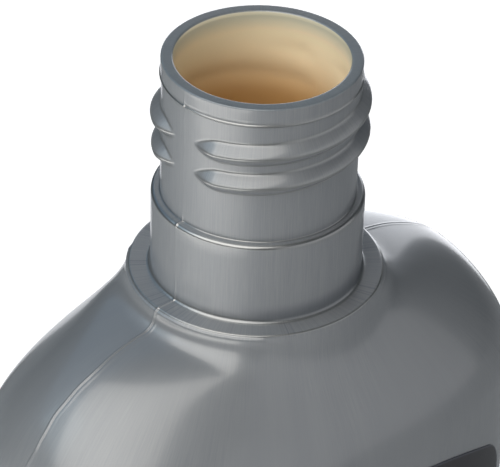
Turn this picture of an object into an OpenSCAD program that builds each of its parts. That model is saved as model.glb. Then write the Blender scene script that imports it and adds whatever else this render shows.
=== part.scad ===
// Oval squeeze bottle for a liquid plastic restorer, blow-moulded in one piece,
// with an interrupted screw thread, a plain collar and a round flange on its neck.
// A film label lies on the front face and another on the back.
// Millimetres, +Z up, the front faces -Y, and the origin is the middle of the base.

/* [Body] */
// Width across the two parting lines
body_w = 79; // [60:1:100]
// Depth from the front face to the back face
body_d = 48; // [42:1:70]
// Height from the base to the rim
total_h = 180; // [120:1:260]
// Thickness of the blown wall
wall = 1.1; // [0.7:0.1:2]
// Squareness of the straight section, where 2 is an ellipse
body_square = 2.35; // [2:0.05:4]

/* [Shoulder] */
// Height of the domed shoulder over the straight wall
shoulder_h = 18.9; // [12:0.1:30]
// Fullness of the shoulder's outer curve, seen from the front
shoulder_full = 4.05; // [3:0.05:6]
// Flatness of the shoulder's top, seen from the front
shoulder_flat = 1.385; // [1.1:0.005:2]
// Squareness of the section at the top of the shoulder
shoulder_square = 1.75; // [1.6:0.05:2.2]
// Lean of the front and back faces of the shoulder
front_lean = 1.19; // [0.8:0.01:1.8]
// Fillet between the flange's skirt and the shoulder
shoulder_fillet = 2.4; // [0.8:0.1:3]

/* [Neck] */
// Height from the flange's top face to the rim
neck_h = 30.75; // [27:0.25:45]
// Outer diameter of the neck behind the thread
neck_d = 24.9; // [24.5:0.1:25.8]
// Diameter of the bore
bore_d = 22; // [18:0.1:22.6]
// Chamfer of the bore at the rim
rim_chamfer = 0.3; // [0.2:0.1:0.8]
// Rounding of the rim's outer edge
rim_round = 0.15; // [0.1:0.05:0.6]
// Height of the smooth band under the rim
band_h = 2.4; // [1.5:0.1:3]
// How far the smooth band stands out of the neck
band_step = 0.15; // [0.05:0.01:0.3]

/* [Thread] */
// Diameter over the thread's crest
thread_d = 27.6; // [26.8:0.1:28.6]
// Rise of the thread in one turn
thread_pitch = 4.233; // [3.9:0.001:4.6]
// Width of the thread's bead at the neck
thread_w = 2.75; // [2:0.05:3.2]
// Depth under the rim of the upper bead where it crosses the middle of the front face
thread_depth = 6.3; // [6:0.1:7.5]
// Gap in the thread on each side of a parting line, in degrees
thread_gap = 7; // [6:0.5:16]
// Drop of the back half's thread against the front half's
thread_slip = 0.4; // [0:0.05:0.8]

/* [Collar and flange] */
// Diameter of the plain collar under the thread
collar_d = 27.2; // [26.4:0.1:29]
// Depth of the collar's top edge under the rim
collar_depth = 19.3; // [18.5:0.1:22]
// Rounding of the collar's top edge
collar_round = 0.4; // [0.2:0.05:0.45]
// Fillet at the foot of the neck, where it meets the collar's top
neck_fillet = 0.15; // [0.1:0.05:0.25]
// Fillet at the foot of the collar
collar_fillet = 0.6; // [0.3:0.1:1]
// Diameter of the flange's top face
flange_d = 32.8; // [31.5:0.1:34]
// Rounding of the flange's top edge
flange_round = 0.15; // [0.05:0.05:0.4]
// Widening of the flange's skirt down to the shoulder
skirt_flare = 0.3; // [0.1:0.05:0.6]
// Height of the skirt from the flange's top face to the level of the shoulder's dome
skirt_h = 2.35; // [2.3:0.05:4]

/* [Base] */
// Radius of the heel around the base
heel_r = 6; // [4:0.5:9]
// Width of the flat ring that the bottle stands on
foot_w = 2.5; // [2:0.5:5]
// Height of the hollow in the base
pushup_h = 2; // [1:0.1:4]
// Width of the slope from the standing ring up into the hollow
pushup_slope = 4; // [2:0.5:6]

/* [Labels] */
// Width of a label
label_w = 58; // [30:1:62]
// Distance from the shoulder down to the top of a label
label_drop = 2.1; // [0.5:0.1:20]
// Height of a label's lower edge over the base
label_z = 13; // [11:1:40]
// Radius of the arched upper edge
label_arch_r = 50; // [42:1:300]
// Radius of a label's corners
label_corner_r = 4; // [1:0.5:8]
// Thickness of the label film
label_t = 0.12; // [0.08:0.01:0.3]

/* [Hidden] */
$fn = 96;

silver = "#9fa3a7";
charcoal = "#3f3f44";

// Columns of the skin around the axis, and steps down its curves
RING = 72;
DOME_STEPS = 15;
FILLET_STEPS = 4;
HEEL_STEPS = 5;
ARC_STEPS = 5;
ARCH_STEPS = 16;
SEARCH_STEPS = 20;
// Overlap that joins solids and clears cuts
LAP = 1;

half_w = body_w / 2;
half_d = body_d / 2;
neck_r = neck_d / 2;
bore_r = bore_d / 2;
band_r = neck_r + band_step;
collar_r = collar_d / 2;
collar_z = total_h - collar_depth;
flange_r = flange_d / 2;
flange_z = total_h - neck_h;
skirt_r = flange_r + skirt_flare;
dome_top_z = flange_z - skirt_h;
straight_z = dome_top_z - shoulder_h;
// How far the shoulder's front and back run in under the skirt
front_tuck = 0.6;
// How far past its own height the front and back curve runs
front_reach = 1.03;
// Half the widening of the bore where it meets the inside of the shoulder, and its height
throat_flare = 0.35;
throat_h = 0.8;
throat_z = flange_z - 0.45;
// The thread's root lies this far inside the neck, and its crest is fuller than an ellipse
root_sink = 0.5;
bead_full = 0.7;
bead_end_w = 0.35;
BEAD_STEP = 6;
BEAD_SIDES = 5;
// Angles over which the beads fade out: at a parting line, at the top and at the bottom
end_fade = 18;
lead_in = 32;
run_out = 95;

// The section is a superellipse, given here by its radius at an angle
function section_r(a, b, n, th) =
    pow(pow(abs(cos(th)) / a, n) + pow(abs(sin(th)) / b, n), -1 / n);

// Share from 1 at the straight wall to 0 at the top of the shoulder
function ease(t) = (1 + cos(180 * min(1, t))) / 2;

// Height over the straight wall at psi, from 0 at the wall to 90 at the top
function dome_h(psi, off) = (shoulder_h - off) * pow(sin(psi), 2 / shoulder_flat);

// Radius of the shoulder at psi and at angle th, moved in by off
function dome_r(th, psi, off) =
    let (t = dome_h(psi, off) / (shoulder_h - off),
         a = (half_w - off) * pow(cos(psi), 2 / shoulder_full),
         tuck_r = skirt_r - front_tuck - off,
         b = tuck_r + (half_d - off - tuck_r) * ease(pow(t / front_reach, front_lean)),
         n = shoulder_square + (body_square - shoulder_square) * ease(t))
    section_r(a, b, n, th);

// psi at which the shoulder comes in to radius r
function psi_at(th, r, off, low = 0, high = 89.9, k = SEARCH_STEPS) =
    let (mid = (low + high) / 2)
    k == 0 ? mid
    : dome_r(th, mid, off) > r ? psi_at(th, r, off, mid, high, k - 1)
    : psi_at(th, r, off, low, mid, k - 1);

// A point of the shoulder as [radius, height]
function dome_point(th, psi, off) = [dome_r(th, psi, off), straight_z + dome_h(psi, off)];

// The shoulder's profile from psi down to the straight wall
function dome_profile(th, psi, off) =
    [for (k = [0 : DOME_STEPS]) dome_point(th, psi * (1 - k / DOME_STEPS), off)];

// A quadratic curve from p to r with q as its corner, without its last point
function fillet(p, q, r) =
    [for (k = [0 : FILLET_STEPS - 1])
        let (t = k / FILLET_STEPS)
        (1 - t) * (1 - t) * p + 2 * t * (1 - t) * q + t * t * r];

// The upright profile of the outer wall at angle th, from the flange down to the straight wall
function outer_profile(th) =
    let (psi = psi_at(th, skirt_r + shoulder_fillet, 0),
         foot = dome_point(th, psi, 0),
         below = dome_point(th, psi - 0.5, 0),
         slope = (foot[1] - below[1]) / (foot[0] - below[0]),
         corner = [skirt_r, foot[1] - slope * shoulder_fillet],
         start = [skirt_r, min(corner[1] + shoulder_fillet, flange_z - 2 * flange_round)])
    concat(
        [[flange_r - flange_round, flange_z], [flange_r, flange_z - flange_round]],
        fillet(start, corner, foot),
        dome_profile(th, psi, 0));

// The upright profile of the inner wall, from inside the bore down to the straight wall
function inner_profile(th) =
    let (psi = psi_at(th, skirt_r - wall, wall),
         foot = dome_point(th, psi, wall),
         start = [bore_r + throat_flare, throat_z],
         corner = [bore_r + 2 * throat_flare, foot[1] + throat_flare])
    concat(
        [[bore_r - throat_flare, throat_z + throat_h]],
        fillet(start, corner, foot),
        dome_profile(th, psi, wall));

// The heel, the standing ring and the hollow as [inset, height], moved in by off
function base_profile(off) =
    let (r = heel_r - off, hollow = heel_r + foot_w)
    concat(
        [for (k = [0 : HEEL_STEPS])
            let (beta = 90 * k / HEEL_STEPS)
            [off + r * (1 - cos(beta)), off + r * (1 - sin(beta))]],
        [for (s = [0, 0.35, 0.65, 1])
            [hollow + pushup_slope * s, off + pushup_h * (1 - ease(s))]]);

// The point at angle th of the straight section, moved in by inset
function section_point(th, inset) =
    section_r(half_w - inset, half_d - inset, body_square, th) * [cos(th), sin(th)];

// One column of the skin, from the top down
function column(th, profile, off) = concat(
    [for (p = profile) [p[0] * cos(th), p[0] * sin(th), p[1]]],
    [for (p = base_profile(off)) concat(section_point(th, p[0]), p[1])]);

// A closed skin through columns that stand side by side around the axis
module skin(columns) {
    n = len(columns);
    m = len(columns[0]);
    points = [for (c = columns) each c];
    sides = [for (j = [0 : n - 1], i = [0 : m - 2])
        let (k = (j + 1) % n)
        each [[j * m + i, k * m + i, k * m + i + 1], [j * m + i, k * m + i + 1, j * m + i + 1]]];
    top = [for (j = [n - 1 : -1 : 0]) j * m];
    bottom = [for (j = [0 : n - 1]) j * m + m - 1];
    polyhedron(points = points, faces = concat([top], sides, [bottom]), convexity = 8);
}

// The outer form from the flange's top face down
module outer_skin() {
    skin([for (j = [0 : RING - 1]) let (th = 360 * j / RING) column(th, outer_profile(th), 0)]);
}

// The space inside, up to the bore
module cavity() {
    skin([for (j = [0 : RING - 1]) let (th = 360 * j / RING) column(th, inner_profile(th), wall)]);
}

// Points of an arc about a centre
function arc(centre, r, from, to) =
    [for (k = [0 : ARC_STEPS])
        let (a = from + (to - from) * k / ARC_STEPS)
        centre + r * [cos(a), sin(a)]];

// The turned form of the rim band, the neck and the collar
module neck_core() {
    foot_r = collar_r + collar_fillet;
    rotate_extrude()
        polygon(concat(
            [[0, total_h]],
            arc([band_r - rim_round, total_h - rim_round], rim_round, 90, 0),
            [[band_r, total_h - band_h], [neck_r, total_h - band_h - 1.5 * band_step]],
            arc([neck_r + neck_fillet, collar_z + neck_fillet], neck_fillet, 180, 270),
            arc([collar_r - collar_round, collar_z - collar_round], collar_round, 90, 0),
            arc([foot_r, flange_z + collar_fillet], collar_fillet, 180, 270),
            [[foot_r, flange_z - LAP], [0, flange_z - LAP]]));
}

// The straight bore and its chamfer at the rim
module bore() {
    translate([0, 0, throat_z + throat_h / 4])
        cylinder(h = neck_h + LAP, r = bore_r);
    translate([0, 0, total_h - rim_chamfer])
        cylinder(h = LAP, r1 = bore_r, r2 = bore_r + LAP);
}

// Height of the thread's middle at an angle, rising by one pitch in each turn
function thread_z(th) = total_h - thread_depth + thread_pitch * (th - 270) / 360;

// The outline of a bead as [radius, height] where it has the share s of its full size
function bead_outline(z, s) =
    let (w = thread_w / 2 * (bead_end_w + (1 - bead_end_w) * s),
         root_r = neck_r - root_sink,
         reach = (thread_d / 2 - root_r) * s)
    concat(
        [[root_r - root_sink, z + w]],
        [for (b = [0 : BEAD_SIDES])
            let (phi = 90 - 180 * b / BEAD_SIDES)
            [root_r + reach * pow(cos(phi), bead_full), z + w * sin(phi)]],
        [[root_r - root_sink, z - w]]);

// One bead of the thread between two angles, faded out at both ends and lowered by drop
module thread_bead(from, to, fade_from = end_fade, fade_to = end_fade, drop = 0) {
    steps = ceil((to - from) / BEAD_STEP);
    angles = [for (k = [0 : steps]) from + (to - from) * k / steps];
    points = [for (th = angles, p = bead_outline(
            thread_z(th) - drop,
            sin(90 * min(1, (th - from) / fade_from, (to - th) / fade_to))))
        [p[0] * cos(th), p[0] * sin(th), p[1]]];
    m = BEAD_SIDES + 3;
    sides = [for (k = [0 : steps - 1], i = [0 : m - 1])
        let (j = (i + 1) % m)
        each [[k * m + i, (k + 1) * m + i, (k + 1) * m + j], [k * m + i, (k + 1) * m + j, k * m + j]]];
    first = [for (i = [0 : m - 1]) i];
    last = [for (i = [m - 1 : -1 : 0]) steps * m + i];
    polyhedron(points = points, faces = concat([first], sides, [last]), convexity = 6);
}

// The thread stops short of the parting lines, which lie at 0 and 180 degrees
module thread() {
    top = 360 + thread_gap;
    thread_bead(top, top + lead_in, fade_to = lead_in, drop = thread_slip);
    thread_bead(180 + thread_gap, 360 - thread_gap);
    thread_bead(thread_gap, 180 - thread_gap, drop = thread_slip);
    thread_bead(thread_gap - 180, -thread_gap);
    bottom = -180 - thread_gap;
    thread_bead(bottom - run_out, bottom, fade_from = run_out, drop = thread_slip);
}

module bottle() {
    color(silver)
    difference() {
        union() {
            outer_skin();
            neck_core();
            thread();
        }
        cavity();
        bore();
    }
}

// The flat outline of a label, with its arched top and round corners
module label_outline() {
    arch = asin(label_w / 2 / label_arch_r);
    arch_z = straight_z - label_drop - label_arch_r;
    offset(r = label_corner_r)
        offset(delta = -label_corner_r)
            polygon(concat(
                [[-label_w / 2, label_z], [label_w / 2, label_z]],
                [for (k = [0 : ARCH_STEPS])
                    let (a = arch * (1 - 2 * k / ARCH_STEPS))
                    [label_arch_r * sin(a), arch_z + label_arch_r * cos(a)]]));
}

// A film of even thickness that lies on the front of the straight wall
module film() {
    step = 360 / RING;
    angles = [for (th = [180 : step : 360])
        if (abs(section_point(th, 0)[0]) < label_w / 2 + half_w * sin(step)) th];
    inside = [for (th = angles) section_point(th, 0)];
    outside = [for (k = [len(inside) - 1 : -1 : 0])
        let (p = inside[k],
             n = body_square - 1,
             lean = [sign(p[0]) * pow(abs(p[0]) / half_w, n) / half_w,
                     sign(p[1]) * pow(abs(p[1]) / half_d, n) / half_d])
        p + label_t * lean / norm(lean)];
    linear_extrude(height = straight_z)
        polygon(concat(inside, outside));
}

// A label on the front face
module label() {
    intersection() {
        film();
        rotate([90, 0, 0])
            linear_extrude(height = body_d)
                label_outline();
    }
}

module front_label() {
    color(charcoal)
    label();
}

module back_label() {
    color(charcoal)
    rotate([0, 0, 180])
        label();
}

bottle();
front_label();
back_label();
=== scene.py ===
import math

import bpy
import numpy as np
from mathutils import Matrix, Vector


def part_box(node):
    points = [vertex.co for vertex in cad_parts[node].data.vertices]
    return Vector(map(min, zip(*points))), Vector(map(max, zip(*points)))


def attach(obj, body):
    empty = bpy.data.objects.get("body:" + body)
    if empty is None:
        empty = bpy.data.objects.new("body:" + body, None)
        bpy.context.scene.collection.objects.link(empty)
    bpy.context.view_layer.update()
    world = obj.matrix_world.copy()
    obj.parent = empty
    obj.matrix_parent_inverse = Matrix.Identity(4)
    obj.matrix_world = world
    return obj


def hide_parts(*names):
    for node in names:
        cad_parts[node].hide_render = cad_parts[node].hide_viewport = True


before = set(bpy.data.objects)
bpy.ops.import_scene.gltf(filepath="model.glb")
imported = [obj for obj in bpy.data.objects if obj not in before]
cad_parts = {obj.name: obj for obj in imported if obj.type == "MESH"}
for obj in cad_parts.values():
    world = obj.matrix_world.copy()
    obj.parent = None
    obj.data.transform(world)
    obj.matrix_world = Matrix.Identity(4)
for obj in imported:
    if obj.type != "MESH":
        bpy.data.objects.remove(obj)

bl_info = {
    "name": "Oval squeeze bottle",
    "version": (1, 0, 0),
    "blender": (4, 5, 0),
    "location": "View3D > Sidebar > Bottle",
    "description": "Models an open oval bottle with a screw neck and two plain film labels",
    "category": "Add Mesh",
}

MM = 0.001
BOTTLE_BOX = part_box("bottle")
FRONT_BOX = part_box("front_label")
BACK_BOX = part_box("back_label")

# The bottle's mesh has this many columns around its axis
COLUMNS = 256
# Share by which the columns crowd at the two parting lines
CROWDING = 0.9
# Steps of the halving search on the dome
HALVINGS = 40
# Faces of a label across it and up it
LABEL_ACROSS, LABEL_UP = 60, 70
# The bend per millimetre at which an edge starts to get its painted highlight, and its span up to the
# full highlight
HIGHLIGHT_FROM, HIGHLIGHT_SPAN = 0.7, 1.3
# Rows of the rim's outer rounding, which stays plain
RIM_ROWS = 9
# The parting line wanders to each side: reach in millimetres, waves per millimetre and start
SEAM_DRIFT = ((0.10, 0.9, 1.0), (0.06, 2.3, 0.0))


def mm_of(value):
    """A length of the frame in millimetres, without the noise of its single precision."""
    return round(value / MM, 2)


def number(name, value, text):
    """A property without a unit."""
    return bpy.props.FloatProperty(name=name, description=text, default=value, precision=3)


def length(name, value, text):
    """A property in millimetres."""
    return number(name, value, text + ", in mm")


def angle(name, value, text):
    """A property in degrees."""
    return number(name, value, text + ", in degrees")


def tint(name, value, text):
    """A colour property, given as it shows on screen."""
    return bpy.props.FloatVectorProperty(
        name=name, description=text, default=value, size=3, min=0, max=1, subtype="COLOR_GAMMA")


class BodySizes(bpy.types.PropertyGroup):
    width: length("Width", mm_of(BOTTLE_BOX[1].x - BOTTLE_BOX[0].x), "Across the parting lines")
    depth: length("Depth", mm_of(BOTTLE_BOX[1].y - BOTTLE_BOX[0].y), "From front to back")
    height: length("Height", mm_of(BOTTLE_BOX[1].z - BOTTLE_BOX[0].z), "From the base to the rim")
    wall: length("Wall", 1.1, "Thickness of the blown wall")
    square: number("Squareness", 2.35, "Squareness of the straight section, 2 is an ellipse")
    shoulder_h: length("Shoulder", 18.9, "Height of the dome over the straight wall")
    shoulder_full: number("Fullness", 4.05, "Fullness of the shoulder's outer curve")
    shoulder_flat: number("Flatness", 1.385, "Flatness of the shoulder's top")
    shoulder_square: number("Top squareness", 1.75, "Squareness of the section at the flange")
    front_lean: number("Lean", 1.19, "Lean of the shoulder's front and back")
    front_tuck: length("Tuck", 0.6, "Run of the shoulder's front and back in under the skirt")
    front_reach: number("Reach", 1.03, "How far the front and back curve runs past the dome")
    fillet: length("Fillet", 2.4, "Fillet between the skirt and the shoulder")
    heel: length("Heel", 6.0, "Radius of the heel")
    foot: length("Foot", 2.5, "Width of the standing ring")
    pushup: length("Hollow", 2.0, "Height of the hollow in the base")
    pushup_slope: length("Hollow slope", 4.0, "Width of the slope into the hollow")
    seam_h: length("Parting line height", 0.15, "Height of the raised parting line on the body")
    seam_w: length("Parting line width", 0.17, "Half the width of the raised parting line")
    seam_right: number("Right share", 0.4, "Height of the right parting line over that of the left")
    seam_neck: length("Parting line on the neck", 0.010, "Height of the parting line on the neck")
    seam_nick: length("Flash", 0.11, "Height of the flash where the parting line crosses an edge")
    seam_double: length("Second line", 0.045, "Height of the fainter line beside the parting line")
    weld_h: length("Weld height", 0.4, "Height of the weld across the hollow base")
    weld_w: length("Weld width", 0.45, "Half the width of the weld")
    weld_l: length("Weld length", 30.0, "Length of the weld across the base")


class NeckSizes(bpy.types.PropertyGroup):
    height: length("Height", 30.75, "From the flange's top face to the rim")
    radius: length("Radius", 12.45, "Outer radius behind the thread")
    bore: length("Bore radius", 11.0, "Radius of the bore")
    chamfer: length("Chamfer", 0.3, "Chamfer of the bore at the rim")
    rim_round: length("Rim rounding", 0.22, "Rounding of the rim's outer edge")
    band_h: length("Band height", 2.4, "Height of the smooth band under the rim")
    band_step: length("Band step", 0.13, "How far the band stands out of the neck")
    band_lip: length("Band edge", 0.13, "How far the raised edge stands out of the band")
    band_lip_h: length("Band edge height", 0.22, "Height of the band's raised edge")
    collar: length("Collar radius", 13.6, "Radius of the collar")
    collar_depth: length("Collar depth", 19.3, "Depth of the collar's top edge under the rim")
    collar_round: length("Collar rounding", 0.5, "Rounding of the collar's top edge")
    neck_fillet: length("Neck fillet", 0.15, "Fillet at the foot of the neck")
    collar_fillet: length("Collar fillet", 0.6, "Fillet at the foot of the collar")
    flange: length("Flange radius", 16.4, "Radius of the flange's top face")
    flange_round: length("Flange rounding", 0.22, "Rounding of the flange's edge")
    skirt_flare: length("Skirt flare", 0.3, "Widening of the skirt down to the shoulder")
    skirt_h: length("Skirt height", 2.35, "From the flange's top face to the dome's level")
    wave: number("Bore waves", 0.2, "Share of the thread that shows as soft waves in the bore")


class ThreadSizes(bpy.types.PropertyGroup):
    crest: length("Crest radius", 13.8, "Radius over the thread")
    pitch: length("Pitch", 4.233, "Rise in one turn")
    width: length("Width", 2.9, "Width of the bead at the neck")
    tip: length("Tip", 0.45, "Rounding of the bead between its straight flanks")
    depth: length("Depth", 6.1, "Depth of the upper bead at the middle of the front")
    gap: angle("Gap", 9.0, "Gap on each side of a parting line")
    fade: angle("Fade", 17.0, "Run over which a bead rises from its pointed end")
    point: number("Point", 1.1, "How slowly a bead rises from its point")
    lead_in: angle("Lead-in", 32.0, "Run over which the thread starts under the rim")
    run_out: angle("Run-out", 95.0, "Run over which the thread's lower end fades out")
    slip: length("Slip", 0.4, "Drop of the back half's thread")
    upper_foot: length("Upper foot", 0.25, "Softness of the bead's upper foot")
    lower_foot: length("Lower foot", 0.18, "Softness of the bead's lower foot")


class LabelSizes(bpy.types.PropertyGroup):
    width: length("Width", mm_of(FRONT_BOX[1].x - FRONT_BOX[0].x), "Width of a label")
    low: length("Lower edge", mm_of(FRONT_BOX[0].z), "Height of the lower edge")
    high: length("Top", mm_of(FRONT_BOX[1].z), "Height of the arch's crown")
    film: length("Film", 0.12, "Thickness of the film")
    arch: length("Arch", 50.0, "Radius of the arched upper edge")
    corner: length("Corner", 4.0, "Radius of the corners")


class Colours(bpy.types.PropertyGroup):
    silver: tint("Silver", (0.61, 0.626, 0.645), "Pearl grey of the outside")
    silver_deep: tint("Deep silver", (0.555, 0.575, 0.60), "Darker streaks of the outside")
    # Painted highlight: the tight edges are painted this paler grey
    edge_highlight: tint("Burnished edge", (0.80, 0.80, 0.78), "Paler grey of the tight edges")
    foot: tint("Collar foot", (0.33, 0.36, 0.40), "Painted shade at the collar's foot")
    # Painted shade of the rim's top
    cut: tint("Cut rim", (0.44, 0.52, 0.57), "Blue grey of the cut rim")
    glow: tint("Glow", (0.37, 0.33, 0.27), "Painted light on the bore's wall and chamfer")
    tick: tint("Tick", (0.44, 0.46, 0.50), "Fine dark ticks across the flange")
    lining: tint("Lining", (1.0, 0.945, 0.81), "Cream of the inside")
    # Partly painted shade: the inside is painted darker tan deeper down
    lining_deep: tint("Deep lining", (0.87, 0.70, 0.47), "Tan of the inside, deeper down")
    lip: tint("Lip", (0.84, 0.85, 0.78), "Pale greyish zone inside the rim")
    film: tint("Film", (0.20, 0.20, 0.218), "Charcoal of the labels")
    film_edge: tint("Film edge", (0.27, 0.28, 0.32), "Cut edge of the labels")
    floor: tint("Floor", (0.97, 0.97, 0.97), "Floor of the studio")
    floor_seen_in_gloss: tint("Floor in gloss", (0.72, 0.73, 0.74), "Floor as the gloss shows it")
    floor_behind: tint("Floor patch", (0.20, 0.21, 0.23), "Painted dark patch of the floor in gloss")


class Studio(bpy.types.PropertyGroup):
    azimuth: angle("Azimuth", -42.02, "Camera's azimuth")
    elevation: angle("Elevation", 34.23, "Camera's elevation")
    roll: angle("Roll", 1.82, "Camera's roll")
    distance: length("Distance", 408.8, "Camera's distance from its target")
    aside: length("Aside", -0.84, "Target's place to the right of the neck's axis")
    below: length("Below", -26.5, "Target's place over the rim")
    lens: length("Lens", 230.4, "Focal length for a sensor 36 mm wide")


GROUPS = {
    "bottle_body": BodySizes,
    "bottle_neck": NeckSizes,
    "bottle_thread": ThreadSizes,
    "bottle_label": LabelSizes,
    "bottle_colours": Colours,
    "bottle_studio": Studio,
}


# Form of the bottle. Angles are in radians, heights and radii in millimetres.

def section(a, b, n, th):
    """Radius at th of a superellipse with the half axes a and b."""
    across = (np.abs(np.cos(th)) / a) ** n
    along = (np.abs(np.sin(th)) / b) ** n
    return (across + along) ** (-1 / n)


def ease(t):
    """Falls smoothly from 1 at 0 to 0 at 1."""
    return (1 + np.cos(np.pi * np.clip(t, 0, 1))) / 2


def soft_max(a, b, k):
    """The larger of a and b, with the corner between them rounded over k."""
    return np.maximum(a, b) + np.maximum(k - np.abs(a - b), 0) ** 2 / (4 * k)


def column_angles():
    """Angles of the columns, crowded at the parting lines at 0 and 180 degrees."""
    even = np.arange(COLUMNS) * 2 * math.pi / COLUMNS
    return even - CROWDING / 2 * np.sin(2 * even)


class Shoulder:
    """The blown wall, or its inner face where off is the wall's thickness."""

    def __init__(self, body, neck, off):
        self.body, self.neck, self.off = body, neck, off
        self.half_w = body.width / 2 - off
        self.half_d = body.depth / 2 - off
        self.flange_z = body.height - neck.height
        self.skirt = neck.flange + neck.skirt_flare
        self.straight_z = self.flange_z - neck.skirt_h - body.shoulder_h

    def rise(self, psi):
        return (self.body.shoulder_h - self.off) * np.sin(psi) ** (2 / self.body.shoulder_flat)

    def radius(self, th, psi):
        body = self.body
        t = np.sin(psi) ** (2 / body.shoulder_flat)
        a = self.half_w * np.cos(psi) ** (2 / body.shoulder_full)
        tuck = self.skirt - body.front_tuck - self.off
        b = tuck + (self.half_d - tuck) * ease((t / body.front_reach) ** body.front_lean)
        n = body.shoulder_square + (body.square - body.shoulder_square) * ease(t)
        return section(a, b, n, th)

    def psi_at(self, th, r):
        """The place up the dome where its radius at th is r."""
        low, high = np.zeros_like(th), np.full_like(th, math.radians(89.9))
        for _ in range(HALVINGS):
            mid = (low + high) / 2
            outside = self.radius(th, mid) > r
            low, high = np.where(outside, mid, low), np.where(outside, high, mid)
        return low

    def dome(self, th, psi_foot, steps):
        """Rows of the dome from its foot on the skirt down to the straight wall."""
        rows = []
        for k in range(steps + 1):
            psi = psi_foot * (1 - k / steps)
            rows.append((self.radius(th, psi), self.straight_z + self.rise(psi)))
        return rows

    def flat_section(self, th, inset):
        return section(self.half_w + self.off - inset, self.half_d + self.off - inset,
                       self.body.square, th)

    def base(self, th, heel_steps, straight_steps):
        """Rows of the straight wall, the heel, the standing ring and the hollow."""
        body, off = self.body, self.off
        r = body.heel - off
        rows = []
        for k in range(1, straight_steps):
            z = self.straight_z + (body.heel - self.straight_z) * k / straight_steps
            rows.append((self.flat_section(th, off), np.full_like(th, z)))
        for k in range(heel_steps + 1):
            beta = math.pi / 2 * k / heel_steps
            inset, z = off + r * (1 - math.cos(beta)), off + r * (1 - math.sin(beta))
            rows.append((self.flat_section(th, inset), np.full_like(th, z)))
        hollow = body.heel + body.foot
        for k in range(heel_steps + 1):
            s = k / heel_steps
            z = off + body.pushup * (1 - ease(s))
            rows.append((self.flat_section(th, hollow + body.pushup_slope * s), np.full_like(th, z)))
        last = self.flat_section(th, hollow + body.pushup_slope)
        for share in (0.8, 0.6, 0.4, 0.2, 0.1, 0.0):
            rows.append((last * share, np.full_like(th, off + body.pushup)))
        return rows


def bend(p, q, r, steps):
    """Rows of a quadratic curve from p to r with q as its corner, without its last row."""
    rows = []
    for k in range(steps):
        t = k / steps
        rows.append(tuple((1 - t) ** 2 * p[i] + 2 * t * (1 - t) * q[i] + t * t * r[i] for i in (0, 1)))
    return rows


def arc(th, r_mid, z_mid, radius, start, end, steps):
    """Rows of a turned arc about a centre, from one angle to another, in degrees."""
    rows = []
    for k in range(steps + 1):
        a = math.radians(start + (end - start) * k / steps)
        rows.append((np.full_like(th, r_mid + radius * math.cos(a)),
                     np.full_like(th, z_mid + radius * math.sin(a))))
    return rows


def straight(th, start, end, steps):
    """Rows along a turned straight line, without its ends."""
    rows = []
    for k in range(1, steps):
        r, z = (start[i] + (end[i] - start[i]) * k / steps for i in (0, 1))
        rows.append((np.full_like(th, r), np.full_like(th, z)))
    return rows


def bead_height(th, z, body, neck, thread, upper_foot, lower_foot):
    """How far the thread stands out of the neck at th and z."""
    degrees = np.degrees(th) % 360
    crest = thread.crest - neck.radius
    tip = thread.tip
    slope = crest / (math.hypot(thread.width / 2, tip) - tip)
    top = 360 + thread.gap
    bottom = -180 - thread.gap
    fade = thread.fade
    beads = (
        (top, top + thread.lead_in, fade, thread.lead_in, thread.slip),
        (180 + thread.gap, 360 - thread.gap, fade, fade, 0),
        (thread.gap, 180 - thread.gap, fade, fade, thread.slip),
        (thread.gap - 180, -thread.gap, fade, fade, 0),
        (bottom - thread.run_out, bottom, thread.run_out, fade, thread.slip),
    )
    height = np.zeros_like(z)
    for start, end, fade_start, fade_end, drop in beads:
        turns = np.floor(start / 360) * 360
        angle = degrees + turns
        angle = np.where(angle < start, angle + 360, angle)
        share = np.minimum((angle - start) / fade_start, (end - angle) / fade_end)
        rising = np.sin(np.pi / 2 * np.clip(share, 0, 1)) ** thread.point
        share = np.where(share > 0, rising, np.maximum(share, -0.5))
        middle = body.height - thread.depth + thread.pitch * (angle - 270) / 360 - drop
        bead = crest * share - slope * (np.hypot(z - middle, tip) - tip)
        bead = np.where(share > -0.45, bead, -1.0)
        foot = np.where(z > middle, upper_foot, lower_foot)
        height = np.maximum(height, soft_max(bead, np.zeros_like(bead), foot))
    return height


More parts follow.
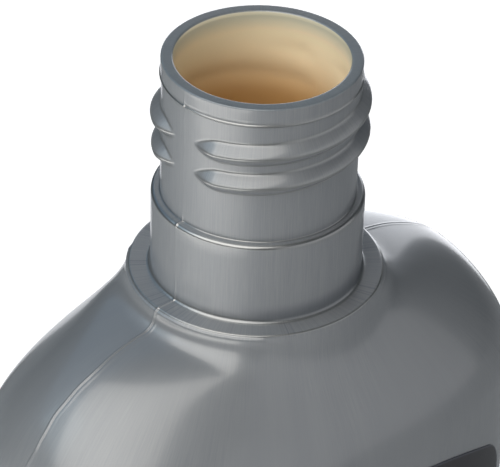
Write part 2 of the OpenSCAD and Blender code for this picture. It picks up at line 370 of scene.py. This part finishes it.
def outer_rows(th, body, neck, thread):
    """Rows of the outside, from the middle of the base up to the rim's top edge."""
    wall = Shoulder(body, neck, 0.0)
    psi = wall.psi_at(th, wall.skirt + body.fillet)
    foot_z = wall.straight_z + wall.rise(psi)
    foot = (np.full_like(th, wall.skirt + body.fillet), foot_z)
    below = wall.radius(th, psi - 0.01), wall.straight_z + wall.rise(psi - 0.01)
    slope = (foot[1] - below[1]) / (foot[0] - below[0])
    corner = (np.full_like(th, wall.skirt), foot[1] - slope * body.fillet)
    start_z = np.minimum(corner[1] + body.fillet, wall.flange_z - 2 * neck.flange_round)
    start = (np.full_like(th, wall.skirt), start_z)
    down = arc(th, neck.flange - neck.flange_round, wall.flange_z - neck.flange_round,
               neck.flange_round, 90, 0, 4)
    edge = down[-1]
    down += [((edge[0] * (1 - s) + start[0] * s), (edge[1] * (1 - s) + start[1] * s))
             for s in (0.25, 0.5, 0.75)]
    down += bend(start, corner, foot, 10)
    down += wall.dome(th, psi, 46)
    down += wall.base(th, 12, 6)
    up = down[::-1]
    flange_z = wall.flange_z
    neck_z = body.height - neck.band_h - 1.5 * neck.band_step
    collar_z = body.height - neck.collar_depth
    collar_foot = neck.collar + neck.collar_fillet
    up += straight(th, (neck.flange - neck.flange_round, flange_z), (collar_foot, flange_z), 6)
    up += arc(th, collar_foot, flange_z + neck.collar_fillet, neck.collar_fillet, 270, 180, 6)
    edge_z = collar_z - neck.collar_round
    up += straight(th, (neck.collar, flange_z + neck.collar_fillet), (neck.collar, edge_z), 6)
    up += arc(th, neck.collar - neck.collar_round, edge_z, neck.collar_round, 0, 90, 6)
    fillet = neck.neck_fillet
    up += straight(th, (neck.collar - neck.collar_round, collar_z), (neck.radius + fillet, collar_z), 3)
    up += arc(th, neck.radius + fillet, collar_z + fillet, fillet, 270, 180, 5)
    low = collar_z + fillet
    thread_low = body.height - thread.depth - 2 * thread.pitch - thread.width
    up += straight(th, (neck.radius, low), (neck.radius, thread_low), 4)
    up += straight(th, (neck.radius, thread_low), (neck.radius, neck_z), 110)
    band = neck.radius + neck.band_step
    band_z = body.height - neck.band_h
    rim_z = body.height - neck.rim_round
    # The band ends in a fine raised edge
    lip, lip_h = band + neck.band_lip, neck.band_lip_h
    edge = ((neck.radius, neck_z), (neck.radius + neck.band_step * 0.3, neck_z + 0.04),
            (band - neck.band_step * 0.1, band_z - 0.07), (lip - 0.02, band_z - 0.03),
            (lip, band_z + 0.02), (lip - neck.band_lip * 0.25, band_z + lip_h * 0.4),
            (band + neck.band_lip * 0.25, band_z + lip_h * 0.8), (band, band_z + lip_h))
    up += [(np.full_like(th, r), np.full_like(th, z)) for r, z in edge]
    up += straight(th, (band, band_z + lip_h), (band, rim_z), 4)
    up += arc(th, band - neck.rim_round, rim_z, neck.rim_round, 0, 90, 6)
    rows = []
    for r, z in up:
        on_neck = (z > thread_low - 1) & (z < neck_z + 0.01)
        bead = bead_height(th, z, body, neck, thread, thread.upper_foot, thread.lower_foot)
        bead = np.where(on_neck, bead, 0)
        rows.append((r + bead, z))
    return rows


def inner_rows(th, body, neck, thread):
    """Rows of the inside, from the rim's top face down to the middle of the floor."""
    wall = Shoulder(body, neck, body.wall)
    top = body.height
    bore = neck.bore
    rows = straight(th, (neck.radius + neck.band_step - neck.rim_round, top),
                    (bore + neck.chamfer, top), 4)
    for k in range(5):
        a = math.radians(90 * k / 4)
        rows.append((np.full_like(th, bore + neck.chamfer * (1 - math.sin(a))),
                     np.full_like(th, top - neck.chamfer * (1 - math.cos(a)))))
    psi = wall.psi_at(th, wall.skirt - body.wall)
    foot = (wall.radius(th, psi), wall.straight_z + wall.rise(psi))
    throat_z = wall.flange_z - 0.45
    for r, z in straight(th, (bore, top - neck.chamfer), (bore, throat_z), 48):
        behind = bead_height(th, z, body, neck, thread, 1.2, 1.2)
        rows.append((r + neck.wave * behind, z))
    start = (np.full_like(th, bore), np.full_like(th, throat_z))
    corner = (np.full_like(th, bore + 0.7), foot[1] + 0.35)
    rows += bend(start, corner, foot, 12)
    rows += wall.dome(th, psi, 16)
    rows += wall.base(th, 5, 3)
    return rows


def hump(x, middle, width):
    """A smooth bump, 1 at its middle."""
    return np.exp(-((x - middle) / width) ** 2)


def seam_height(r, z, body, neck):
    """Height of the parting line, with flash where it crosses the neck's edges."""
    flange_z = body.height - neck.height
    on_neck = 1 / (1 + np.exp(-np.clip((z - flange_z) / 0.08, -30, 30)))
    edges = (body.height - neck.band_h, body.height - neck.collar_depth, flange_z + neck.collar_fillet)
    flash = sum(hump(z, edge, 0.4) for edge in edges) * body.seam_nick
    neck_part = (body.seam_neck + flash) * np.clip((body.height - z) / 0.3, 0, 1)
    body_part = body.seam_h * np.clip(z / 1.5 - 0.1, 0, 1)
    weld = body.weld_h * np.clip((body.weld_l / 2 - r) / 2, 0, 1) * (z < body.heel)
    return on_neck * neck_part + (1 - on_neck) * np.maximum(body_part, weld)


def raise_seam(rows, th, body, neck):
    """Lifts the parting line out of the outer rows, square to the wall."""
    r = np.array([row[0] for row in rows])
    z = np.array([row[1] for row in rows])
    along_r, along_z = np.gradient(r, axis=0), np.gradient(z, axis=0)
    size = np.maximum(np.hypot(along_r, along_z), 1e-6)
    drift = sum(reach * np.sin(z * waves + start) for reach, waves, start in SEAM_DRIFT)
    aside = r * np.sin(th) - drift
    on_weld = (z < body.heel) & (r < body.weld_l / 2)
    half_width = np.where(on_weld, body.weld_w, body.seam_w)
    lift = seam_height(r, z, body, neck) * np.exp(-np.abs(aside / half_width) ** 3)
    lift *= np.where((np.cos(th) > 0) & (z > body.heel), body.seam_right, 1)
    shoulder_z = body.height - neck.height - neck.skirt_h
    double = body.seam_double * hump(z, shoulder_z - 2, 7) * (z < shoulder_z + 1.5)
    lift += double * hump(aside, -3 * body.seam_w, body.seam_w)
    return [(r[k] + lift[k] * along_z[k] / size[k], z[k] - lift[k] * along_r[k] / size[k])
            for k in range(len(rows))]


def tightness(rows, low):
    """How tightly the section bends at each point of the rows over low, from 0 to 1."""
    r = np.array([row[0] for row in rows])
    z = np.array([row[1] for row in rows])
    along_r, along_z = np.gradient(r, axis=0), np.gradient(z, axis=0)
    heading = np.unwrap(np.arctan2(along_z, along_r), axis=0)
    size = np.maximum(np.hypot(along_r, along_z), 0.02)
    curvature = np.abs(np.gradient(heading, axis=0)) / size
    return np.clip((curvature - HIGHLIGHT_FROM) / HIGHLIGHT_SPAN, 0, 1) * (z > low)


def deselect():
    """Leaves nothing selected, so that an operator acts on the new piece alone."""
    bpy.ops.object.select_all(action="DESELECT")


def turned(name, outline, steps):
    """Draws an outline point by point and spins it about the axis."""
    deselect()
    first = outline[0]
    bpy.ops.mesh.primitive_plane_add(size=MM, location=(0, 0, 0))
    piece = bpy.context.object
    piece.name = piece.data.name = name
    bpy.ops.object.mode_set(mode="EDIT")
    bpy.ops.mesh.select_all(action="SELECT")
    bpy.ops.mesh.merge(type="CENTER")
    bpy.ops.transform.translate(value=(first[0] * MM, 0, first[1] * MM))
    for before, after in zip(outline, outline[1:]):
        step = ((after[0] - before[0]) * MM, 0, (after[1] - before[1]) * MM)
        bpy.ops.mesh.extrude_region_move(TRANSFORM_OT_translate={"value": step})
    bpy.ops.object.mode_set(mode="OBJECT")
    row = piece.data.attributes.new("row", "INT", "POINT")
    row.data.foreach_set("value", list(range(len(outline))))
    bpy.ops.object.mode_set(mode="EDIT")
    bpy.ops.mesh.select_all(action="SELECT")
    bpy.ops.mesh.spin(steps=steps, angle=2 * math.pi, center=(0, 0, 0), axis=(0, 0, 1))
    bpy.ops.mesh.select_all(action="SELECT")
    bpy.ops.mesh.remove_doubles(threshold=1e-7)
    bpy.ops.mesh.normals_make_consistent(inside=False)
    bpy.ops.object.mode_set(mode="OBJECT")
    return piece


def points_of(mesh):
    """The mesh's points as an array."""
    flat = np.empty(len(mesh.vertices) * 3)
    mesh.vertices.foreach_get("co", flat)
    return flat.reshape(-1, 3)


def reshape_turned(piece, rows, th):
    """Moves the points of a turned piece onto the rows, column by column."""
    mesh = piece.data
    points = points_of(mesh)
    row = np.empty(len(points), dtype=np.int32)
    mesh.attributes["row"].data.foreach_get("value", row)
    turn = np.arctan2(points[:, 1], points[:, 0]) / (2 * math.pi) * len(th)
    column = np.rint(turn).astype(int) % len(th)
    r = np.array([line[0] for line in rows])[row, column]
    z = np.array([line[1] for line in rows])[row, column]
    angle = th[column]
    shaped = np.stack([r * np.cos(angle), r * np.sin(angle), z], axis=1) * MM
    mesh.vertices.foreach_set("co", shaped.ravel())
    mesh.update()
    return row, column


class BOTTLE_OT_blow(bpy.types.Operator):
    """Models the bottle, its thread, its parting line and its hollow inside"""

    bl_idname = "bottle.blow"
    bl_label = "Blow the bottle"

    def execute(self, context):
        scene = context.scene
        body, neck, thread = scene.bottle_body, scene.bottle_neck, scene.bottle_thread
        th = column_angles()
        plain = outer_rows(th, body, neck, thread)
        outside = raise_seam(plain, th, body, neck)
        inside = inner_rows(th, body, neck, thread)
        rows = outside + inside
        outline = [(float(row[0][0]), float(row[1][0])) for row in rows]
        piece = turned("bottle_shell", outline, COLUMNS)
        row, column = reshape_turned(piece, rows, th)
        # Tight bends get a painted highlight, kept off the rim's rounding
        edge_highlight = piece.data.attributes.new("edge_highlight", "FLOAT", "POINT")
        flange_low = body.height - neck.height - neck.flange_round - 0.05
        tight = tightness(plain, flange_low)
        tight = tight[np.minimum(row, len(outside) - 1), column] * (row < len(outside) - RIM_ROWS)
        edge_highlight.data.foreach_set("value", tight.astype(np.float32))
        lining = piece.data.attributes.new("lining", "FLOAT", "POINT")
        share = np.clip((row - len(outside) - 5) / 4, 0, 1)
        lining.data.foreach_set("value", share.astype(np.float32))
        bpy.ops.object.shade_smooth()
        piece.data.materials.append(pearl_plastic(scene.bottle_colours, body, neck))
        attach(piece, "root")
        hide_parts("bottle")
        return {"FINISHED"}


def label_piece(name, body, size, turn):
    """A film with an arched top and round corners, laid on the straight wall."""
    deselect()
    bpy.ops.mesh.primitive_grid_add(x_subdivisions=LABEL_ACROSS, y_subdivisions=LABEL_UP, size=2)
    piece = bpy.context.object
    piece.name = piece.data.name = name
    grid = points_of(piece.data)
    u, v = grid[:, 0], grid[:, 1]
    # Rows crowd at both ends, so that they follow the corners
    share = (1 - np.cos(np.pi * (v + 1) / 2)) / 2
    height = size.high - size.low
    off_end = np.minimum(share, 1 - share) * height
    inside = np.clip(size.corner - off_end, 0, size.corner)
    half = size.width / 2 - size.corner + np.sqrt(size.corner ** 2 - inside ** 2)
    x = u * half
    crown = size.high - (size.arch - np.sqrt(size.arch ** 2 - x ** 2))
    z = size.low + (crown - size.low) * share
    a, b, n = body.width / 2, body.depth / 2, body.square
    y = -b * (1 - (np.abs(x) / a) ** n) ** (1 / n)
    shaped = np.stack([x, y, z], axis=1) * MM
    piece.data.vertices.foreach_set("co", shaped.ravel())
    edge = piece.data.attributes.new("edge", "FLOAT", "POINT")
    margin = np.minimum(np.minimum(off_end, half - np.abs(x)), 5.0)
    edge.data.foreach_set("value", margin.astype(np.float32))
    bpy.ops.object.mode_set(mode="EDIT")
    bpy.ops.mesh.select_all(action="SELECT")
    bpy.ops.mesh.normals_make_consistent(inside=False)
    bpy.ops.object.mode_set(mode="OBJECT")
    faces_back = sum(f.normal.y for f in piece.data.polygons) > 0
    if faces_back:
        piece.data.flip_normals()
    solid = piece.modifiers.new("film", "SOLIDIFY")
    solid.thickness = size.film * MM
    solid.offset = 1
    bpy.ops.object.modifier_apply(modifier=solid.name)
    piece.data.transform(Matrix.Rotation(turn, 4, "Z"))
    bpy.ops.object.shade_smooth_by_angle(angle=math.radians(40))
    return piece


class BOTTLE_OT_label(bpy.types.Operator):
    """Lays a plain film label on the front and another on the back"""

    bl_idname = "bottle.label"
    bl_label = "Lay the labels"

    def execute(self, context):
        scene = context.scene
        film = label_film(scene.bottle_colours)
        for node, turn in (("front_label", 0.0), ("back_label", math.pi)):
            piece = label_piece(node + "_film", scene.bottle_body, scene.bottle_label, turn)
            piece.data.materials.append(film)
            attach(piece, "root")
            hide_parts(node)
        return {"FINISHED"}


# Finishes

class Value:
    """A socket of a material, which takes part in arithmetic as Math nodes."""

    def __init__(self, finish, socket):
        self.finish, self.socket = finish, socket

    def maths(self, operation, first, second):
        return self.finish.node("ShaderNodeMath", {"operation": operation}, {0: first, 1: second})

    def __add__(self, other):
        return self.maths("ADD", self, other)

    def __radd__(self, other):
        return self.maths("ADD", other, self)

    def __sub__(self, other):
        return self.maths("SUBTRACT", self, other)

    def __rsub__(self, other):
        return self.maths("SUBTRACT", other, self)

    def __mul__(self, other):
        return self.maths("MULTIPLY", self, other)

    def __truediv__(self, other):
        return self.maths("DIVIDE", self, other)

    def __pow__(self, other):
        return self.maths("POWER", self, other)


class Finish:
    """A material, made of one surface shader and the nodes that feed it."""

    def __init__(self, name, **constants):
        self.material = bpy.data.materials.new(name)
        self.material.use_nodes = True
        self.tree = self.material.node_tree
        self.surface = self.tree.nodes["Principled BSDF"]
        for socket, value in constants.items():
            self.surface.inputs[socket.replace("_", " ")].default_value = value

    def node(self, kind, settings=None, sockets=None, output=0):
        """Adds a node with its settings, feeds its sockets and gives one output."""
        made = self.tree.nodes.new(kind)
        for name, value in (settings or {}).items():
            setattr(made, name, value)
        for key, value in (sockets or {}).items():
            self.feed(made.inputs[key], value)
        return Value(self, made.outputs[output])

    def feed(self, socket, value):
        if isinstance(value, Value):
            self.tree.links.new(value.socket, socket)
        else:
            socket.default_value = value

    def set(self, name, value):
        self.feed(self.surface.inputs[name], value)

    def mix(self, share, first, second):
        """A colour between two others."""
        return self.node("ShaderNodeMix", {"data_type": "RGBA"},
                         {0: share, 6: first, 7: second}, 2)

    def smooth(self, value, low, high):
        """0 below low and 1 above high, with a smooth step between them."""
        return self.node("ShaderNodeMapRange", {"interpolation_type": "SMOOTHSTEP"},
                         {0: value, 1: low, 2: high, 3: 0.0, 4: 1.0})

    def noise(self, vector, scale, detail=2.0, rough=0.5):
        return self.node("ShaderNodeTexNoise", {},
                         {"Vector": vector, "Scale": scale, "Detail": detail, "Roughness": rough})


def linear(colour):
    """A screen colour as the shader wants it."""
    made = [c / 12.92 if c <= 0.04045 else ((c + 0.055) / 1.055) ** 2.4 for c in colour]
    return (*made, 1.0)


# Noise scales of the pearl plastic
FINE_LINES, BROAD_LINES, SCRATCHES, CLOUDS, PATCHES = 85.0, 7.0, 150.0, 60.0, 45.0
TICKS, TICK_GROUPS = 34.0, 2.6
# Directions in the plan, with their spans in metres: to the right and away, as the photograph's
# camera sees the bottle. They are fixed to the bottle, and don't follow the camera.
RIGHT, RIGHT_SPAN = (0.74, -0.67), (-0.009, 0.009)
FAR, FAR_SPAN = (0.67, 0.74), (0.002, 0.010)
# Depths under the rim in metres between which the inside changes
CREAM_DEPTH, TAN_DEPTH = (0.0006, 0.0032), (0.003, 0.0135)
CHAMFER_DEPTH, GLOW_DEPTH = (0.0003, 0.0007), (0.004, 0.013)
# Depths of the rim's painted shade, and heights over the flange of the collar's shaded foot, in metres
RIM_DEPTH, FOOT_TOP, FOOT_LOW = (0.00022, 0.00008), (0.0030, 0.0008), (0.0, 0.0004)


def pearl_plastic(colours, body, neck):
    """Satin pearl plastic with fine flow lines outside, and the cream inside."""
    finish = Finish("pearl_plastic", IOR=1.5, Coat_Roughness=0.17, Coat_IOR=1.6)
    place = finish.node("ShaderNodeTexCoord", {}, {}, 3)
    parts = finish.node("ShaderNodeSeparateXYZ", {}, {0: place})
    x, y, z = (Value(finish, parts.socket.node.outputs[i]) for i in range(3))
    reach = (x * x + y * y + 1e-9) ** 0.5
    around = finish.node("ShaderNodeCombineXYZ", {}, {0: x / reach, 1: y / reach, 2: z * 2.0})
    fine = finish.noise(around, FINE_LINES, 2.0, 0.8)
    broad = finish.noise(around, BROAD_LINES, 2.0, 0.5)
    cloud = finish.noise(place, CLOUDS, 3.0, 0.5)
    patches = finish.smooth(finish.noise(place, PATCHES, 1.0, 0.5), 0.48, 0.62)
    # The die's lines run down the neck, and only faint scratches down the shoulder
    flange_z = (body.height - neck.height - neck.flange_round) * MM
    on_neck = finish.smooth(z, flange_z - 0.001, flange_z)
    scratches = finish.noise(around, SCRATCHES, 2.0, 0.6)
    lines = on_neck * fine + (1 - on_neck) * (0.5 + (scratches - 0.5) * (0.15 + patches * 0.5))
    lining = finish.node("ShaderNodeAttribute", {"attribute_name": "lining"}, {}, 2)
    streak = finish.smooth(lines * 0.55 + broad * 0.2 + cloud * 0.25, 0.30, 0.70)
    outside = finish.mix(streak, linear(colours.silver_deep), linear(colours.silver))
    # The trimming tool left fine ticks across the flange, here and there
    flat = finish.node("ShaderNodeCombineXYZ", {}, {0: x / reach, 1: y / reach, 2: 0.0})
    ticks = finish.smooth(finish.noise(flat, TICKS, 2.0, 0.8), 0.52, 0.64)
    some = finish.smooth(finish.noise(flat, TICK_GROUPS, 1.0, 0.5), 0.42, 0.60)
    top_z = flange_z + neck.flange_round * MM
    on_flange = finish.smooth(z, top_z - 0.0005, top_z - 0.0001) * finish.smooth(
        z, top_z + 0.0006, top_z + 0.0001)
    outside = finish.mix(ticks * some * on_flange * 0.5, outside, linear(colours.tick))
    # Painted highlight: tight edges are painted paler, with more metal and less roughness
    edge_highlight = finish.node("ShaderNodeAttribute", {"attribute_name": "edge_highlight"}, {}, 2)
    outside = finish.mix(edge_highlight * 0.3, outside, linear(colours.edge_highlight))
    # The rim's top is painted darker and bluer as painted shade, and paler on the far side as a painted
    # highlight
    rim = finish.smooth(z, *(body.height * MM - deep for deep in RIM_DEPTH))
    far = finish.smooth(x * FAR[0] + y * FAR[1], *FAR_SPAN)
    outside = finish.mix(rim * (0.34 - far * 0.2), outside, linear(colours.cut))
    # Painted shade: the collar's foot is darker on the photograph's right
    on_right = finish.smooth(x * RIGHT[0] + y * RIGHT[1], *RIGHT_SPAN)
    under = finish.smooth(z, *(top_z + high for high in FOOT_TOP))
    foot = under * finish.smooth(z, *(top_z + high for high in FOOT_LOW))
    outside = finish.mix(foot * on_right * 0.55, outside, linear(colours.foot))
    lip = finish.mix(finish.smooth(lining, 0.0, 0.3), outside, linear(colours.lip))
    # The inside turns from cream to tan deeper down: partly the lining's own tint, partly painted shade
    depth = body.height * MM - z
    upper = finish.mix(finish.smooth(depth, *CREAM_DEPTH), linear(colours.lip), linear(colours.lining))
    inside = finish.mix(finish.smooth(depth, *TAN_DEPTH), upper, linear(colours.lining_deep))
    finish.set("Base Color", finish.mix(finish.smooth(lining, 0.5, 0.95), lip, inside))
    outer = 1 - finish.smooth(lining, 0.0, 0.4)
    finish.set("Metallic", outer * (0.35 + edge_highlight * 0.55))
    finish.set("Coat Weight", 0.2 + outer * 0.7)
    finish.set("Roughness", 0.38 + lines * 0.08 + cloud * 0.04 - edge_highlight * 0.14)
    # Painted light: the bore is brighter on the photograph's right, and the chamfer on its far side
    painted_glow = (1 - finish.smooth(depth, *GLOW_DEPTH)) * on_right * finish.smooth(lining, 0.5, 0.95)
    on_chamfer = finish.smooth(lining, 0.05, 0.3) * (1 - finish.smooth(depth, *CHAMFER_DEPTH))
    painted_glow = painted_glow + on_chamfer * far * 2.2
    finish.set("Emission Color", finish.mix(painted_glow, (0, 0, 0, 1), linear(colours.glow)))
    finish.set("Emission Strength", 1.0)
    height = lines * 0.7 + cloud * 0.3
    bump = finish.node("ShaderNodeBump", {}, {"Strength": 0.10, "Distance": 0.0001, "Height": height})
    finish.set("Normal", bump)
    return finish.material


def label_film(colours):
    """Charcoal film with a narrow paler margin."""
    finish = Finish("label_film", Metallic=0.0, IOR=1.5)
    place = finish.node("ShaderNodeTexCoord", {}, {}, 3)
    edge = finish.node("ShaderNodeAttribute", {"attribute_name": "edge"}, {}, 2)
    cloud = finish.noise(place, 90.0, 3.0, 0.5)
    inner = finish.smooth(edge, 0.25, 0.4)
    finish.set("Base Color", finish.mix(inner, linear(colours.film_edge), linear(colours.film)))
    finish.set("Roughness", 0.34 + cloud * 0.08)
    bump = finish.node("ShaderNodeBump", {}, {"Strength": 0.1, "Distance": 0.0002, "Height": cloud})
    finish.set("Normal", bump)
    return finish.material


# A painted dark patch that the gloss alone sees on the floor, behind the bottle in the photograph's
# view. Nothing casts it. Its place, and where it starts and is full, in metres
SHADE_PLACE = (0.155, 0.245)
SHADE_FADE = (0.14, 0.07)
# The floor's own light to the camera near the bottle, and where it turns to plain white
FLOOR_LIFT = (0.7, 0.7, 0.7, 1)
BACKDROP_FADE = (0.5, 1.6)


def floor_paint(colours):
    """White to the camera, with the bottle's shadow, and dim with a dark patch in reflections."""
    finish = Finish("floor_paint", Roughness=0.9)
    in_gloss = finish.node("ShaderNodeLightPath", {}, {}, 3)
    # The patch darkens the gloss of the silhouettes on the photograph's right
    place = finish.node("ShaderNodeTexCoord", {}, {}, 3)
    parts = finish.node("ShaderNodeSeparateXYZ", {}, {0: place})
    x, y = (Value(finish, parts.socket.node.outputs[i]) for i in range(2))
    off_x, off_y = x - SHADE_PLACE[0], y - SHADE_PLACE[1]
    behind = finish.smooth((off_x * off_x + off_y * off_y + 1e-9) ** 0.5, *SHADE_FADE)
    gloss = finish.mix(behind, linear(colours.floor_seen_in_gloss), linear(colours.floor_behind))
    paint = finish.mix(in_gloss, linear(colours.floor), gloss)
    finish.set("Base Color", paint)
    to_camera = finish.node("ShaderNodeLightPath", {}, {}, 0)
    away = finish.smooth((x * x + y * y + 1e-9) ** 0.5, *BACKDROP_FADE)
    white = finish.mix(away, FLOOR_LIFT, (1, 1, 1, 1))
    lift = finish.mix(to_camera, (0, 0, 0, 1), white)
    finish.set("Emission Color", lift)
    finish.set("Emission Strength", 1.0)
    return finish.material


# Studio. A lamp's row holds its name, azimuth and elevation in degrees, distance and size in
# metres, radiance and colour. A card is a lamp that shows in the gloss alone.
WARM, COOL, LILAC = (1.0, 0.957, 0.895), (0.62, 0.86, 1.0), (0.95, 0.96, 1.0)
LAMPS = (
    ("left_softbox", -79, 51, 1.0, (1.15, 1.1), 2.15, WARM),
    ("low_card", -90, -20, 0.30, (0.44, 0.10), 2.4, WARM),
    ("left_back_fill", -126, 36, 1.0, (0.6, 0.5), 0.65, COOL),
    ("right_fill", 25, 14, 1.0, (2.1, 1.0), 0.46, (1.0, 0.985, 0.985)),
    ("back_fill", -172, 42, 1.0, (1.1, 0.8), 0.26, (0.40, 0.68, 1.0)),
)
CARDS = (
    ("white_card", 132.5, 1, 0.25, (0.19, 0.235), 1.9, LILAC),
    ("back_card", 150, -27, 0.25, (0.10, 0.08), 1.0, LILAC),
)


def softbox(name, azimuth, elevation, distance, size, radiance, colour):
    """A rectangle of light that faces the bottle from a direction in degrees, in metres."""
    middle = Vector((0, 0, 0.14))
    a, e = math.radians(azimuth), math.radians(elevation)
    away = Vector((math.sin(a) * math.cos(e), -math.cos(a) * math.cos(e), math.sin(e)))
    deselect()
    bpy.ops.object.light_add(type="AREA", location=middle + away * distance)
    lamp = bpy.context.object
    lamp.name = name
    lamp.data.shape = "RECTANGLE"
    lamp.data.size, lamp.data.size_y = size
    lamp.data.energy = math.pi * size[0] * size[1] * radiance
    lamp.data.color = colour
    lamp.rotation_euler = away.to_track_quat("Z", "Y").to_euler()
    lamp.visible_camera = False
    return lamp


def photo_camera(studio, rim_z):
    """The camera at the photograph's viewing angle, with its long lens."""
    a, e, roll = (math.radians(v) for v in (studio.azimuth, studio.elevation, studio.roll))
    right = Vector((math.cos(a), math.sin(a), 0))
    back = Vector((math.sin(a) * math.cos(e), -math.cos(a) * math.cos(e), math.sin(e)))
    up = back.cross(right)
    across = math.cos(roll) * right + math.sin(roll) * up
    upright = -math.sin(roll) * right + math.cos(roll) * up
    target = right * studio.aside + Vector((0, 0, rim_z + studio.below))
    place = (target + back * studio.distance) * MM
    deselect()
    bpy.ops.object.camera_add(location=place)
    camera = bpy.context.object
    camera.name = "photo_camera"
    camera.rotation_euler = Matrix((across, upright, back)).transposed().to_euler()
    camera.data.sensor_width = 36
    camera.data.lens = studio.lens
    camera.data.clip_start, camera.data.clip_end = 0.01, 20
    bpy.context.scene.camera = camera
    return camera


class BOTTLE_OT_stage(bpy.types.Operator):
    """Sets the floor, the lights, the plain white surroundings and the camera"""

    bl_idname = "bottle.stage"
    bl_label = "Set the stage"

    def execute(self, context):
        scene = context.scene
        studio = scene.bottle_studio
        deselect()
        bpy.ops.mesh.primitive_circle_add(vertices=96, radius=6, fill_type="NGON")
        floor = context.object
        floor.name = "floor"
        floor.data.materials.append(floor_paint(scene.bottle_colours))
        photo_camera(studio, scene.bottle_body.height)
        self.lights()
        self.surroundings(scene)
        scene.view_settings.view_transform = "Standard"
        return {"FINISHED"}

    def lights(self):
        """A large softbox on the left, dim fills around the bottle, and cards for its gloss."""
        for row in LAMPS:
            softbox(*row)
        for row in CARDS:
            softbox(*row).visible_diffuse = False

    def surroundings(self, scene):
        """Plain white to the camera, and dim and cool to the bottle."""
        world = bpy.data.worlds.new("surroundings")
        scene.world = world
        world.use_nodes = True
        tree = world.node_tree
        plain = tree.nodes["Background"]
        plain.inputs["Color"].default_value = (0.75, 0.90, 1.0, 1.0)
        plain.inputs["Strength"].default_value = 0.05
        white = tree.nodes.new("ShaderNodeBackground")
        white.inputs["Strength"].default_value = 1.0
        path = tree.nodes.new("ShaderNodeLightPath")
        either = tree.nodes.new("ShaderNodeMixShader")
        tree.links.new(path.outputs["Is Camera Ray"], either.inputs[0])
        tree.links.new(plain.outputs[0], either.inputs[1])
        tree.links.new(white.outputs[0], either.inputs[2])
        tree.links.new(either.outputs[0], tree.nodes["World Output"].inputs[0])


class BOTTLE_PT_panel(bpy.types.Panel):
    """Shows the bottle's tools and sizes in the sidebar"""

    bl_idname = "BOTTLE_PT_panel"
    bl_label = "Bottle"
    bl_space_type = "VIEW_3D"
    bl_region_type = "UI"
    bl_category = "Bottle"

    def draw(self, context):
        for operator in OPERATORS:
            self.layout.operator(operator.bl_idname)
        for group, kind in GROUPS.items():
            box = self.layout.box()
            for name in kind.__annotations__:
                box.prop(getattr(context.scene, group), name)


OPERATORS = (BOTTLE_OT_blow, BOTTLE_OT_label, BOTTLE_OT_stage)
CLASSES = (*GROUPS.values(), *OPERATORS, BOTTLE_PT_panel)


def register():
    for kind in CLASSES:
        bpy.utils.register_class(kind)
    for name, kind in GROUPS.items():
        setattr(bpy.types.Scene, name, bpy.props.PointerProperty(type=kind))


def unregister():
    for name in GROUPS:
        delattr(bpy.types.Scene, name)
    for kind in reversed(CLASSES):
        bpy.utils.unregister_class(kind)


def main():
    """Makes every piece and the stage."""
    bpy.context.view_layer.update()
    register()
    bpy.ops.bottle.blow()
    bpy.ops.bottle.label()
    bpy.ops.bottle.stage()


if __name__ == "__main__":
    main()
